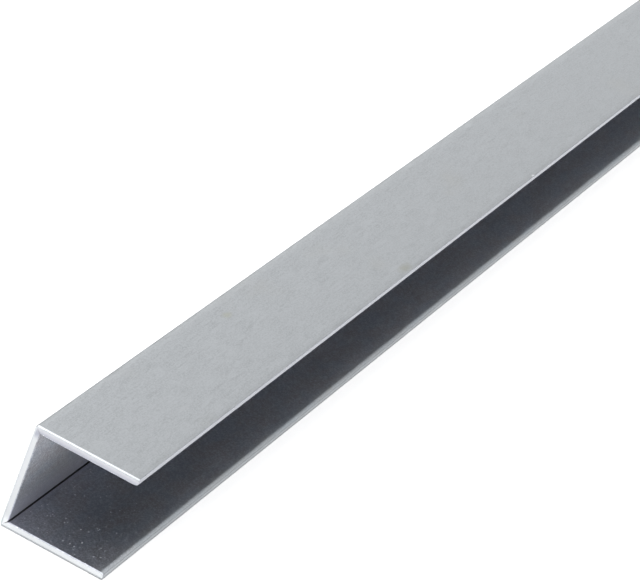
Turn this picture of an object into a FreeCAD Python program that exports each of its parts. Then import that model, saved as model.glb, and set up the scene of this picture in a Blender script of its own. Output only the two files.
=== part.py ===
"""Stainless steel tile trim: one straight length of U channel, folded from one strip of sheet.

The strip has a V groove planed along each fold line, on the side that becomes the inside. Only a thin
skin is left under each groove, and the sheet folds about it, so the outside corners are nearly sharp.
The two walls of a groove almost close on each other: what stays open is a narrow seam on the mitre
line of each inside corner. The strip was slit on a shear, which pulled the sheet down along one side
of each free edge, the inside one here. Both ends are cut square, with their outside edges eased.

The channel lies on its bottom flange. +Y runs along the length, and the channel opens towards +X.
The origin is in the middle of the bottom face. All sizes are in millimetres.
"""

import FreeCAD, Part

import math
import os

# Overall sizes
LENGTH = 1000.0
FLANGE_WIDTH = 15.0  # outside of the web to the free edges
CHANNEL_HEIGHT = 15.0  # outside to outside of the flanges
SHEET = 1.0  # thickness of the sheet

# Folds
FOLD_SKIN = 0.4  # sheet left under each V groove, which is also the outside radius of a fold
SEAM_MOUTH = 0.2  # width of the seam where it opens into an inside corner

# Edges
ROLL_WIDTH = 0.7  # how far in from a free edge the shear pulled the inside face down
ROLL_DROP = 0.2  # how far it is pulled down at the edge itself
END_EASE = 0.3  # radius round the outside of each cut end

NODE = "u_channel_trim"


def lower_half():
    """The section's outline from the middle of the web's back, round the bottom flange to its front.

    Each step is (kind, end point, middle point), with points as (x, z) from the bottom fold's corner.
    """
    middle = CHANNEL_HEIGHT / 2.0
    skin = FOLD_SKIN
    diagonal = skin - skin / math.sqrt(2.0)
    inner = SHEET + SEAM_MOUTH / math.sqrt(2.0)  # where each inside face stops short of the corner
    roll_radius = (ROLL_WIDTH ** 2 + ROLL_DROP ** 2) / (2.0 * ROLL_DROP)
    half_turn = math.asin(ROLL_WIDTH / roll_radius) / 2.0
    roll_start = FLANGE_WIDTH - ROLL_WIDTH
    roll_middle = (
        roll_start + roll_radius * math.sin(half_turn),
        SHEET - roll_radius * (1.0 - math.cos(half_turn)),
    )
    return [
        ("start", (0.0, middle), None),
        ("line", (0.0, skin), None),
        ("arc", (skin, 0.0), (diagonal, diagonal)),
        ("line", (FLANGE_WIDTH, 0.0), None),
        ("line", (FLANGE_WIDTH, SHEET - ROLL_DROP), None),
        ("arc", (roll_start, SHEET), roll_middle),
        ("line", (inner, SHEET), None),
        ("line", (skin, skin), None),
        ("line", (SHEET, inner), None),
        ("line", (SHEET, middle), None),
    ]


def placed(point, mirrored):
    """A point of the section as a vector in the plane of the near end."""
    x, z = point
    height = CHANNEL_HEIGHT - z if mirrored else z
    return FreeCAD.Vector(x - FLANGE_WIDTH / 2.0, -LENGTH / 2.0, height)


def half_edges(mirrored):
    """The edges of the lower half, or of the upper half, which mirrors it."""
    edges = []
    here = None
    for kind, end, through in lower_half():
        there = placed(end, mirrored)
        if kind == "line":
            edges.append(Part.makeLine(here, there))
        elif kind == "arc":
            edges.append(Part.Arc(here, placed(through, mirrored), there).toShape())
        here = there
    return edges


def bar():
    """The channel with plain square ends."""
    outline = Part.Wire(Part.__sortEdges__(half_edges(False) + half_edges(True)))
    body = Part.Face(outline).extrude(FreeCAD.Vector(0.0, LENGTH, 0.0))
    return body.removeSplitter()  # joins the two halves of each face of the web


def is_outside(edge, y):
    """True for an edge of the end at y that lies on the outside of the web or of a flange."""
    box = edge.BoundBox
    at_end = abs(box.YMin - y) < 1e-6 and abs(box.YMax - y) < 1e-6
    on_web = box.XMin < -FLANGE_WIDTH / 2.0 + 1e-6
    on_flange = box.ZMax < 1e-6 or box.ZMin > CHANNEL_HEIGHT - 1e-6
    return at_end and (on_web or on_flange)


def channel():
    """The finished channel, with the outside edges of both ends rounded."""
    body = bar()
    rims = [e for y in (-LENGTH / 2.0, LENGTH / 2.0) for e in body.Edges if is_outside(e, y)]
    return body.makeFillet(END_EASE, rims).Solids[0]


def main():
    os.makedirs("parts", exist_ok=True)
    channel().exportStep("parts/" + NODE + ".step")


main()
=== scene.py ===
"""Looks of the stainless steel tile trim: one U channel in satin steel on a pale studio floor.

All lengths are in metres, in the CAD's frame: +Y along the channel, +X out of its open side, +Z up.
The piece made here has the CAD's own section, with finer arcs, and stands for the CAD node.
"""

import math

import bmesh
import bpy
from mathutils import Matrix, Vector


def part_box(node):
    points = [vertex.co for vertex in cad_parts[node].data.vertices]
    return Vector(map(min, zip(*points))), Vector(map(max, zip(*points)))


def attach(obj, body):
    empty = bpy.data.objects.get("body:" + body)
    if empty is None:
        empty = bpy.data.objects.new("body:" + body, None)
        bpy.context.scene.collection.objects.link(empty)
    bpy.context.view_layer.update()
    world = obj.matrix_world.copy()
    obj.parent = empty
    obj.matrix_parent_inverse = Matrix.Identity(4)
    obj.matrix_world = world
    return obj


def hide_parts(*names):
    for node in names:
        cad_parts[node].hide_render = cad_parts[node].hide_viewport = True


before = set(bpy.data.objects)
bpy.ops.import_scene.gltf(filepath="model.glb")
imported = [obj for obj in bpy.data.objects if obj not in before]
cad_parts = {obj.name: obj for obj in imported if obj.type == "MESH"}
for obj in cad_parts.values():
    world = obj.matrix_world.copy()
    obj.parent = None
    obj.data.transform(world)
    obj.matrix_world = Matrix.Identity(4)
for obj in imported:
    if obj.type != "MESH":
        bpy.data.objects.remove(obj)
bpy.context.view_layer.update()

NODE = "u_channel_trim"
LOW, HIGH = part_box(NODE)
WIDTH, LENGTH, HEIGHT = HIGH - LOW

MM = 0.001
SHEET = 1.0 * MM
FOLD_SKIN = 0.4 * MM
SEAM_MOUTH = 0.2 * MM
ROLL_WIDTH = 0.7 * MM
ROLL_DROP = 0.2 * MM
END_EASE = 0.3 * MM
END_BREAK = 0.15 * MM  # radius that deburring leaves round the inside of each cut end
BREAK = 0.06 * MM  # radius that handling leaves on the sharpest edges
GUARD = 0.05 * MM  # how far past an arc a flat face gets its own line of points
MOUTH_SHUT = (-1.25, -0.65)  # pull that closes a seam's mouth at the ends: along the sheet, and into it
SHARP = math.radians(25.0)  # angle from which an edge is drawn sharp
RINGS_NEAR_END = (2, 5, 12, 25)  # in mm from a cut end
MIDDLE_PARTS = 10  # parts of the length, with a ring of points between each two

# The unwrap: one strip for the whole skin, then a square for each cut end
END_ZONE = 45.0 * MM  # length at each end that gets the finer share of the strip
END_SHARE, MIDDLE_SHARE = 6.5, 0.42
LEAST_ACROSS, LEAST_ALONG = 0.12 * MM, 1.2 * MM
MARGIN = 0.005
STRIP_WIDTH, STRIP_HEIGHT = 0.80, 0.99
SQUARE_LEFT, SQUARE_SIZE = 0.82, 0.17
NEAR_SQUARE, FAR_SQUARE = 0.02, 0.25

OUTSIDE, INSIDE, SLIT_EDGE, CUT_END, GROOVE = range(5)

# A smudge and a spot on the top flange, and a painted highlight on a nick at its free edge, as
# (place, size, strength, colour). Places and sizes are in mm, and a place is counted from the lower fold
# at the near end.
MARKS_AND_HIGHLIGHT = (
    ((14.0, 93.6, 15.0), (1.2, 3.2, 1.0), 0.50, (0.32, 0.32, 0.26)),
    ((3.2, 52.9, 15.0), (0.9, 2.0, 1.0), 0.45, (0.42, 0.43, 0.33)),
    # painted highlight: the glint of a nick on the top flange's free edge
    ((14.9, 146.7, 15.0), (0.5, 0.8, 0.5), 0.80, (0.80, 0.83, 0.85)),
)

# The camera: its place from the lower fold at the near end, in widths of the channel, its turn about
# X, Y and Z in degrees, and its lens in mm
CAMERA_PLACE = Vector((9.4299, -29.9138, 17.1156))
CAMERA_TURN = (64.2435, -19.5919, 23.4456)
CAMERA_LENS = 240.05

# Strength of the sky low down and overhead, and what its sides before the near end and behind the
# far end add
SKY_LOW, SKY_TOP, SKY_FRONT, SKY_BEHIND = 0.36, 2.9, 1.1, 0.50
BACKDROP = 1.5

FLOOR_HALF = 60.0
FLOOR_GAP = 0.02 * MM  # how far below the channel the floor lies, so that no two faces coincide


# ------------------------------------------------------------------ the shape


def arc(centre, radius, start, end, steps):
    """Points on an arc, with its angles in degrees."""
    angles = [math.radians(start + (end - start) * i / steps) for i in range(steps + 1)]
    return [(centre[0] + radius * math.cos(a), centre[1] + radius * math.sin(a)) for a in angles]


def lower_half():
    """The outline round the bottom flange, from the middle of the web's back to that of its front.

    Each row is (x, z, outside pull, inside pull, finish of the stretch that follows). A pull is the
    way that a point moves where the rounding of an end draws that side of the sheet in.
    """
    inner = SHEET + SEAM_MOUTH / math.sqrt(2.0)
    roll = (ROLL_WIDTH ** 2 + ROLL_DROP ** 2) / (2.0 * ROLL_DROP)
    roll_turn = math.degrees(math.asin(ROLL_WIDTH / roll))
    corner = SHEET - ROLL_DROP
    still, right, left, up, down = (0, 0), (1, 0), (-1, 0), (0, 1), (0, -1)
    rows = [(0.0, HEIGHT / 2.0, right, still, OUTSIDE), (0.0, FOLD_SKIN + GUARD, right, still, OUTSIDE)]
    for x, z in arc((FOLD_SKIN, FOLD_SKIN), FOLD_SKIN, 180, 270, 12):
        rows.append((x, z, (1.0 - x / FOLD_SKIN, 1.0 - z / FOLD_SKIN), still, OUTSIDE))
    rows.append((FOLD_SKIN + GUARD, 0.0, up, still, OUTSIDE))
    rows.append((WIDTH - BREAK - GUARD, 0.0, up, still, OUTSIDE))
    for x, z in arc((WIDTH - BREAK, BREAK), BREAK, -90, 0, 4):
        rows.append((x, z, up, still, SLIT_EDGE))
    rows.append((WIDTH, BREAK + GUARD, up, still, SLIT_EDGE))
    rows.append((WIDTH, corner - BREAK - GUARD, still, down, SLIT_EDGE))
    rows.append((WIDTH, corner - BREAK, still, down, SLIT_EDGE))
    rows.append((WIDTH - 0.25 * BREAK, corner - 0.2 * BREAK, still, down, SLIT_EDGE))  # bevel by the roll
    for x, z in arc((WIDTH - ROLL_WIDTH, SHEET - roll), roll, 90 - roll_turn, 90, 12)[1:]:
        rows.append((x, z, still, down, INSIDE))
    rows.append((WIDTH - ROLL_WIDTH - GUARD, SHEET, still, down, INSIDE))
    rows.append((inner + BREAK, SHEET, still, down, INSIDE))
    rows.append((inner, SHEET - 0.5 * BREAK, still, MOUTH_SHUT, GROOVE))
    rows.append((FOLD_SKIN, FOLD_SKIN, still, still, GROOVE))
    rows.append((SHEET - 0.5 * BREAK, inner, still, MOUTH_SHUT[::-1], INSIDE))
    rows.append((SHEET, inner + BREAK, still, left, INSIDE))
    rows.append((SHEET, HEIGHT / 2.0, still, left, INSIDE))
    return rows


def outline():
    """The whole section, once round: the lower half, then its mirror image run the other way."""
    lower = lower_half()
    rows = lower[:-1] + [lower[-1][:4] + (lower[-2][4],)]
    for i in range(len(lower) - 2, 0, -1):
        x, z, outside, inside, _ = lower[i]
        flipped = [(pull[0], -pull[1]) for pull in (outside, inside)]
        rows.append((x, HEIGHT - z, *flipped, lower[i - 1][4]))
    return rows


def drawn_in(distance, radius):
    """How far an edge rounding of this radius draws a face in, at a distance from the end."""
    short = max(0.0, 1.0 - distance / radius)
    return radius * (1.0 - math.sqrt(1.0 - short * short))


def rings():
    """Distance from the near end of each ring of points."""
    rounding = [y for y, _ in arc((END_EASE, END_EASE), END_EASE, 180, 270, 9)]
    ends = rounding + [END_EASE + GUARD] + [y * MM for y in RINGS_NEAR_END] + [END_ZONE]
    middle = [LENGTH * i / MIDDLE_PARTS for i in range(1, MIDDLE_PARTS)]
    return ends + middle + [LENGTH - y for y in reversed(ends)]


def running_total(lengths):
    """Sums of the lengths so far, as shares of them all."""
    sums = [0.0]
    for length in lengths:
        sums.append(sums[-1] + length)
    return [s / sums[-1] for s in sums]


def around(rows):
    """Place across the unwrap of each point of the section, from the root of the lower groove."""
    roots = [i for i, r in enumerate(rows) if r[:2] == (FOLD_SKIN, FOLD_SKIN)]
    order = rows[roots[0]:] + rows[:roots[0]]
    steps = [math.dist(a[:2], b[:2]) for a, b in zip(order, order[1:] + order[:1])]
    shares = running_total([max(s, LEAST_ACROSS) for s in steps])
    return roots[0], shares


def along(ys):
    """Place up the unwrap of each ring: the two ends get more of it than the length between them."""
    steps = []
    for a, b in zip(ys, ys[1:]):
        middle = (a + b) / 2.0
        fine = min(middle, LENGTH - middle) < END_ZONE
        steps.append(max((b - a) * (END_SHARE if fine else MIDDLE_SHARE), LEAST_ALONG))
    return running_total(steps)


def make_points(bm, rows, places):
    """The points of the channel, ring by ring, with the edges at both ends rounded."""
    grid = []
    for y in places:
        from_end = min(y, LENGTH - y)
        eased, broken = drawn_in(from_end, END_EASE), drawn_in(from_end, END_BREAK)
        ring = []
        for x, z, outside, inside, _ in rows:
            move = [o * eased + i * broken for o, i in zip(outside, inside)]
            ring.append(bm.verts.new(LOW + Vector((x + move[0], y, z + move[1]))))
        grid.append(ring)
    return grid


def make_skin(bm, unwrap, grid, rows, places):
    """The faces along the channel, each with its finish and its place in the strip of the unwrap."""
    count = len(rows)
    first, across = around(rows)
    up = along(places)
    for j in range(len(grid) - 1):
        for i in range(count):
            k = (i + 1) % count
            face = bm.faces.new((grid[j][i], grid[j + 1][i], grid[j + 1][k], grid[j][k]))
            face.material_index = rows[i][4]
            face.smooth = True
            step = (i - first) % count
            left, right = (MARGIN + STRIP_WIDTH * across[step + n] for n in (0, 1))
            low, high = (MARGIN + STRIP_HEIGHT * up[j + n] for n in (0, 1))
            corners = ((left, low), (left, high), (right, high), (right, low))
            for loop, corner in zip(face.loops, corners):
                loop[unwrap].uv = corner


def make_cut_end(bm, unwrap, ring, base):
    """The flat face of one cut end, with its square of the unwrap starting at this height."""
    face = bm.faces.new(ring)
    face.material_index = CUT_END
    for loop in face.loops:
        place = loop.vert.co - LOW
        across, up = place.x / WIDTH, place.z / HEIGHT
        loop[unwrap].uv = (SQUARE_LEFT + SQUARE_SIZE * across, base + SQUARE_SIZE * up)


def make_channel():
    """The channel, with its finishes numbered and its unwrap."""
    rows = outline()
    places = rings()
    mesh = bpy.data.meshes.new("channel")
    bm = bmesh.new()
    unwrap = bm.loops.layers.uv.new("OFBake")
    grid = make_points(bm, rows, places)
    make_skin(bm, unwrap, grid, rows, places)
    make_cut_end(bm, unwrap, grid[0], NEAR_SQUARE)
    make_cut_end(bm, unwrap, grid[-1][::-1], FAR_SQUARE)
    for edge in bm.edges:
        capped = any(face.material_index == CUT_END for face in edge.link_faces)
        edge.smooth = not capped and edge.calc_face_angle(0.0) < SHARP
    bm.normal_update()
    bm.to_mesh(mesh)
    bm.free()
    piece = bpy.data.objects.new("steel_channel", mesh)
    bpy.context.scene.collection.objects.link(piece)
    return piece


# -------------------------------------------------------------- the materials


class Finish:
    """A metal and short calls for the nodes that its pattern is made of."""

    def __init__(self, name):
        self.material = bpy.data.materials.new(name)
        self.material.use_nodes = True
        self.tree = self.material.node_tree
        self.shader = self.tree.nodes["Principled BSDF"]
        self.shader.inputs["Metallic"].default_value = 1.0
        self.place = self.tree.nodes.new("ShaderNodeTexCoord").outputs["Object"]
        parts = self.tree.nodes.new("ShaderNodeSeparateXYZ")
        self.tree.links.new(self.place, parts.inputs[0])
        self.x, self.y, self.z = parts.outputs

    def feed(self, socket, value):
        """Links a node's output to a socket, or sets a plain number or colour on it."""
        if isinstance(value, bpy.types.NodeSocket):
            self.tree.links.new(value, socket)
        elif isinstance(value, tuple) and len(value) == 3 and len(socket.default_value) == 4:
            socket.default_value = value + (1.0,)
        else:
            socket.default_value = value

    def scaled(self, size, shift=(0.0, 0.0, 0.0)):
        """Object coordinates counted in features of the given size, in millimetres."""
        node = self.tree.nodes.new("ShaderNodeMapping")
        self.feed(node.inputs["Vector"], self.place)
        node.inputs["Scale"].default_value = [1000.0 / s for s in size]
        node.inputs["Location"].default_value = shift
        return node.outputs[0]

    def noise(self, size, detail=2.0, rough=0.5, shift=(0.0, 0.0, 0.0)):
        """A cloudy pattern from 0 to 1, stretched to the given size in millimetres."""
        node = self.tree.nodes.new("ShaderNodeTexNoise")
        self.feed(node.inputs["Vector"], self.scaled(size, shift))
        node.inputs["Scale"].default_value = 1.0
        node.inputs["Detail"].default_value = detail
        node.inputs["Roughness"].default_value = rough
        return node.outputs[0]

    def cells(self, size):
        """(distance from the middle of the nearest cell, that cell's own number)."""
        node = self.tree.nodes.new("ShaderNodeTexVoronoi")
        self.feed(node.inputs["Vector"], self.scaled((size, size, size)))
        node.inputs["Scale"].default_value = 1.0
        number = self.tree.nodes.new("ShaderNodeSeparateColor")
        self.feed(number.inputs[0], node.outputs["Color"])
        return node.outputs["Distance"], number.outputs[0]

    def maths(self, kind, *values):
        """A Math node of the given kind."""
        node = self.tree.nodes.new("ShaderNodeMath")
        node.operation = kind
        for socket, value in zip(node.inputs, values):
            self.feed(socket, value)
        return node.outputs[0]

    def plus(self, a, b):
        return self.maths("ADD", a, b)

    def times(self, a, b):
        return self.maths("MULTIPLY", a, b)

    def apart(self, value, middle):
        """How far a value is from the middle, on either side."""
        return self.maths("ABSOLUTE", self.maths("SUBTRACT", value, middle))

    def vector(self, kind, *values):
        """A Vector Math node of the given kind."""
        node = self.tree.nodes.new("ShaderNodeVectorMath")
        node.operation = kind
        for socket, value in zip(node.inputs, values):
            self.feed(socket, value)
        return node.outputs

    def fade(self, value, start, end, low=0.0, high=1.0):
        """Goes smoothly from low, where the value is start, to high, where it is end."""
        node = self.tree.nodes.new("ShaderNodeMapRange")
        node.interpolation_type = "SMOOTHSTEP"
        for socket, number in zip(node.inputs[:5], (value, start, end, low, high)):
            self.feed(socket, number)
        return node.outputs[0]

    def by_fold(self):
        """1 at the folds, fading over the first millimetre or so of the faces that meet there."""
        across = self.fade(self.x, LOW.x + 0.2 * MM, LOW.x + 1.8 * MM, 1.0, 0.0)
        off = self.apart(self.z, LOW.z + HEIGHT / 2.0)
        return self.times(across, self.fade(off, HEIGHT / 2.0 - 1.8 * MM, HEIGHT / 2.0))

    def spot(self, place, size):
        """1 in a ragged patch at this place, fading to 0 beyond this size. Both are as in MARKS_AND_HIGHLIGHT."""
        off = self.vector("SUBTRACT", self.place, LOW + Vector(place) * MM)["Vector"]
        sizes_off = self.vector("DIVIDE", off, Vector(size) * MM)["Vector"]
        distance = self.vector("LENGTH", sizes_off)["Value"]
        ragged = self.times(self.noise((0.7, 0.9, 0.7), 3.0, 0.6, (7.0, 2.0, 5.0)), 0.8)
        return self.fade(self.plus(distance, ragged), 1.3, 0.5)

    def mix(self, share, a, b):
        """Colour a where the share is 0, and b where it is 1."""
        node = self.tree.nodes.new("ShaderNodeMix")
        node.data_type = "RGBA"
        for socket, value in ((node.inputs[0], share), (node.inputs[6], a), (node.inputs[7], b)):
            self.feed(socket, value)
        return node.outputs[2]

    def from_end(self):
        """Distance from the nearer cut end."""
        off = self.apart(self.y, (LOW.y + HIGH.y) / 2.0)
        return self.maths("SUBTRACT", LENGTH / 2.0, off)

    def finish(self, colour, roughness, height=None, depth=0.0):
        """Sends the patterns to the shader. Depth is the relief's full height in metres."""
        self.feed(self.shader.inputs["Base Color"], colour)
        self.feed(self.shader.inputs["Roughness"], roughness)
        if height is not None:
            bump = self.tree.nodes.new("ShaderNodeBump")
            bump.inputs["Distance"].default_value = depth
            self.feed(bump.inputs["Height"], height)
            self.feed(self.shader.inputs["Normal"], bump.outputs[0])
        return self.material


def satin_outside():
    """The show face: a fine even grain, short brush lines along the length, handling marks, painted shade
    towards the free edges, and a painted highlight on a nick.
    """
    look = Finish("satin_outside")
    grain = look.noise((0.18, 0.32, 0.18), 2.0, 0.65)
    lines = look.noise((0.12, 5.0, 0.12), 3.0, 0.6, (5.0, 0.0, 2.0))
    bands = look.noise((2.2, 300.0, 2.2), 3.0, 0.55)
    cloud = look.noise((12.0, 22.0, 12.0), 3.0, 0.55, (3.1, 0.4, 1.7))
    hollow_dark, hollow_light = (0.384, 0.404, 0.421), (0.408, 0.428, 0.446)
    grain_top, line_top = (0.500, 0.523, 0.544), (0.505, 0.528, 0.551)
    shade, film, brightened = (0.24, 0.25, 0.26), (0.46, 0.455, 0.42), (0.78, 0.80, 0.82)
    steel = look.mix(look.fade(bands, 0.3, 0.7), hollow_dark, hollow_light)
    steel = look.mix(look.fade(grain, 0.38, 0.64), steel, grain_top)
    steel = look.mix(look.times(look.fade(lines, 0.35, 0.65), 0.75), steel, line_top)
    # Painted shade: darker towards the open side of the flanges, and more so by their free edges
    steel = look.mix(look.fade(look.x, LOW.x, HIGH.x, 0.0, 0.10), steel, shade)
    steel = look.mix(look.fade(look.x, HIGH.x - 1.2 * MM, HIGH.x, 0.0, 0.20), steel, shade)
    steel = look.mix(look.times(look.fade(cloud, 0.58, 0.74), 0.22), steel, film)
    steel = look.mix(look.times(look.by_fold(), 0.16), steel, brightened)
    # The smudge and the spot, and the painted highlight on the nick
    for place, size, strength, colour in MARKS_AND_HIGHLIGHT:
        steel = look.mix(look.times(look.spot(place, size), strength), steel, colour)
    rough = look.fade(lines, 0.25, 0.75, 0.34, 0.42)
    return look.finish(steel, rough, look.plus(grain, lines), 2.0e-6)


def mill_inside():
    """The back of the sheet: dull and dark, dusty near the cut ends, with painted light low on the web,
    near the cut ends and by the free edges.
    """
    look = Finish("mill_inside")
    grain = look.noise((0.22, 0.32, 0.22), 3.0, 0.7)
    lines = look.noise((0.14, 6.0, 0.14), 2.0, 0.5, (1.0, 0.0, 4.0))
    mottle = look.noise((2.4, 7.0, 2.4), 3.0, 0.6)
    on_web = look.fade(look.x, LOW.x + SHEET + 0.1 * MM, LOW.x + SHEET + 0.8 * MM, 1.0, 0.0)
    # Painted light: paler low on the web
    painted_light_low_on_web = look.fade(look.z, LOW.z + 6.0 * MM, LOW.z + SHEET, 0.0, 0.6)
    # Painted light: paler over the last 1.5 mm before the free edges
    painted_light_by_edge = look.fade(look.x, HIGH.x - 1.5 * MM, HIGH.x, 0.0, 0.47)
    by_end = look.fade(look.from_end(), 14.0 * MM, 0.0)
    # Painted light near the cut ends, stronger on the flanges than on the web; it also brightens the
    # grain there
    brightened = look.times(by_end, look.fade(on_web, 0.0, 1.0, 0.45, 0.12))
    steel = look.mix(look.fade(mottle, 0.35, 0.65), (0.274, 0.268, 0.282), (0.254, 0.283, 0.328))
    steel = look.mix(brightened, steel, (0.50, 0.52, 0.58))
    grain_top = look.mix(brightened, (0.428, 0.445, 0.490), (0.86, 0.88, 0.95))
    steel = look.mix(look.times(look.fade(grain, 0.40, 0.68), 0.9), steel, grain_top)
    steel = look.mix(painted_light_by_edge, steel, (0.52, 0.56, 0.57))
    dust = dust_of_the_cut(look)
    steel = look.mix(dust, steel, (0.88, 0.89, 0.94))
    look.feed(look.shader.inputs["Metallic"], look.fade(dust, 0.0, 1.0, 1.0, 0.1))
    # Painted light low on the web
    steel = look.mix(look.times(on_web, painted_light_low_on_web), steel, (0.61, 0.62, 0.71))
    rough = look.plus(look.fade(lines, 0.25, 0.75, 0.36, 0.46), look.times(on_web, 0.16))
    height = look.plus(grain, look.times(dust, 4.0))
    return look.finish(steel, rough, height, 4.0e-6)


def dust_of_the_cut(look):
    """1 on the specks of dust, which get rarer away from the cut ends and fainter towards the opening."""
    near = look.fade(look.from_end(), 45.0 * MM, 2.0 * MM)
    distance, number = look.cells(0.32)
    speck = look.fade(distance, 0.44, 0.16)
    chosen = look.fade(look.plus(number, look.times(near, 0.13)), 1.0, 1.10)
    deep = look.fade(look.x, LOW.x + 0.3 * WIDTH, HIGH.x, 1.0, 0.45)
    return look.times(look.times(speck, chosen), deep)


def slit_edge():
    """The sheared edge: fine lines across the sheet, rougher patches, painted light and shade graded by
    height, and painted contact shade along the lower rim.
    """
    look = Finish("slit_edge")
    lines = look.noise((1.0, 0.12, 1.4), 3.0, 0.6)
    patches = look.noise((1.0, 3.0, 1.0), 3.0, 0.6)
    # Painted contact shade: dark along the lower rim of the bottom flange's edge, next to the floor
    painted_contact_shade = look.fade(look.z, LOW.z + 0.6 * MM, LOW.z, 0.0, 0.7)
    # Painted light and shade graded by height: paler on the bottom flange's edge, darker on the top
    # flange's
    steel = look.mix(look.fade(look.z, LOW.z, HIGH.z), (0.360, 0.382, 0.398), (0.302, 0.317, 0.350))
    steel = look.mix(look.times(lines, 0.9), steel, (0.420, 0.438, 0.474))
    steel = look.mix(look.times(look.fade(patches, 0.45, 0.7), 0.3), steel, (0.36, 0.36, 0.39))
    steel = look.mix(painted_contact_shade, steel, (0.15, 0.16, 0.17))
    return look.finish(steel, look.fade(lines, 0.3, 0.7, 0.34, 0.5), lines, 3.0e-6)


def cut_end():
    """The cut ends: fine lines from the blade, and painted light and shade graded by height, brightest on
    the bottom flange.
    """
    look = Finish("cut_end")
    lines = look.noise((1.8, 1.0, 0.09), 3.0, 0.6)
    # Painted light and shade by height: brightest on the bottom flange, darker on the web, darkest low on
    # the top flange's end
    above_bottom = look.fade(look.z, LOW.z + SHEET, LOW.z + 2 * SHEET)
    below_top = look.fade(look.z, HIGH.z - 2 * SHEET, HIGH.z - SHEET)
    up_top = look.fade(look.z, HIGH.z - SHEET, HIGH.z - 0.2 * SHEET)
    steel = look.mix(above_bottom, (0.65, 0.67, 0.685), (0.505, 0.52, 0.535))
    steel = look.mix(below_top, steel, (0.29, 0.30, 0.355))
    steel = look.mix(up_top, steel, (0.45, 0.455, 0.48))
    steel = look.mix(look.times(lines, 0.2), steel, (0.72, 0.725, 0.74))
    return look.finish(steel, look.fade(lines, 0.3, 0.7, 0.36, 0.48), lines, 2.0e-6)


def planed_groove():
    """The walls of the V grooves: dark, since they shade each other, and bright right at the cut ends."""
    look = Finish("planed_groove")
    lines = look.noise((0.08, 9.0, 0.08), 2.0, 0.5)
    by_end = look.fade(look.from_end(), 1.2 * MM, 0.2 * MM)
    steel = look.mix(lines, (0.05, 0.05, 0.055), (0.11, 0.11, 0.12))
    steel = look.mix(by_end, steel, (0.50, 0.50, 0.53))
    return look.finish(steel, look.fade(lines, 0.3, 0.7, 0.45, 0.6))


# ------------------------------------------------------------------ the studio


def make_floor():
    """A plain pale floor, wide enough for a view from any side."""
    mesh = bpy.data.meshes.new("floor")
    signs = ((-1, -1), (1, -1), (1, 1), (-1, 1))
    corners = [(x * FLOOR_HALF, y * FLOOR_HALF, LOW.z - FLOOR_GAP) for x, y in signs]
    mesh.from_pydata(corners, [], [(0, 1, 2, 3)])
    floor = bpy.data.objects.new("floor", mesh)
    bpy.context.scene.collection.objects.link(floor)
    paint = bpy.data.materials.new("pale_floor")
    paint.use_nodes = True
    shader = paint.node_tree.nodes["Principled BSDF"]
    shader.inputs["Base Color"].default_value = (0.92, 0.92, 0.92, 1.0)
    shader.inputs["Roughness"].default_value = 0.9
    shader.inputs["Specular IOR Level"].default_value = 0.1
    mesh.materials.append(paint)


def make_sky():
    """Soft light from all round, strong overhead, weaker behind the far end than before the near one.

    The camera itself sees a white backdrop.
    """
    world = bpy.data.worlds.new("studio")
    bpy.context.scene.world = world
    world.use_nodes = True
    tree = world.node_tree
    parts = tree.nodes.new("ShaderNodeSeparateXYZ")
    direction = tree.nodes.new("ShaderNodeTexCoord").outputs["Generated"]
    tree.links.new(direction, parts.inputs[0])
    ramps = []
    for axis, start, end, low, high in (
        ("Z", 0.45, 1.0, SKY_LOW, SKY_TOP),
        ("Y", 0.1, -0.9, 0.0, SKY_FRONT),
        ("Y", 0.80, 1.0, 0.0, SKY_BEHIND),
    ):
        ramp = tree.nodes.new("ShaderNodeMapRange")
        tree.links.new(parts.outputs[axis], ramp.inputs[0])
        for given, number in zip(list(ramp.inputs)[1:5], (start, end, low, high)):
            given.default_value = number
        ramps.append(ramp.outputs[0])
    total = ramps[0]
    for strength in ramps[1:]:
        both = tree.nodes.new("ShaderNodeMath")
        tree.links.new(total, both.inputs[0])
        tree.links.new(strength, both.inputs[1])
        total = both.outputs[0]
    light = tree.nodes["Background"]
    light.inputs["Color"].default_value = (1.0, 1.0, 1.0, 1.0)
    tree.links.new(total, light.inputs["Strength"])
    backdrop = tree.nodes.new("ShaderNodeBackground")
    backdrop.inputs["Color"].default_value = (1.0, 1.0, 1.0, 1.0)
    backdrop.inputs["Strength"].default_value = BACKDROP
    path = tree.nodes.new("ShaderNodeLightPath")
    switch = tree.nodes.new("ShaderNodeMixShader")
    tree.links.new(path.outputs["Is Camera Ray"], switch.inputs[0])
    tree.links.new(light.outputs[0], switch.inputs[1])
    tree.links.new(backdrop.outputs[0], switch.inputs[2])
    tree.links.new(switch.outputs[0], tree.nodes["World Output"].inputs[0])


def make_camera():
    """A long lens that looks at the near end, tilted so that the channel runs up to the right."""
    data = bpy.data.cameras.new("camera")
    camera = bpy.data.objects.new("camera", data)
    bpy.context.scene.collection.objects.link(camera)
    data.sensor_width = 36.0
    data.lens = CAMERA_LENS
    data.clip_start = 0.01
    data.clip_end = 50.0
    camera.location = LOW + WIDTH * CAMERA_PLACE
    camera.rotation_euler = [math.radians(angle) for angle in CAMERA_TURN]
    bpy.context.scene.camera = camera


# --------------------------------------------------------------------- the job

make_camera()
make_floor()
make_sky()
bpy.context.scene.view_settings.view_transform = "Standard"

channel = make_channel()
for material in (satin_outside(), mill_inside(), slit_edge(), cut_end(), planed_groove()):
    channel.data.materials.append(material)
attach(channel, "root")
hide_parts(NODE)
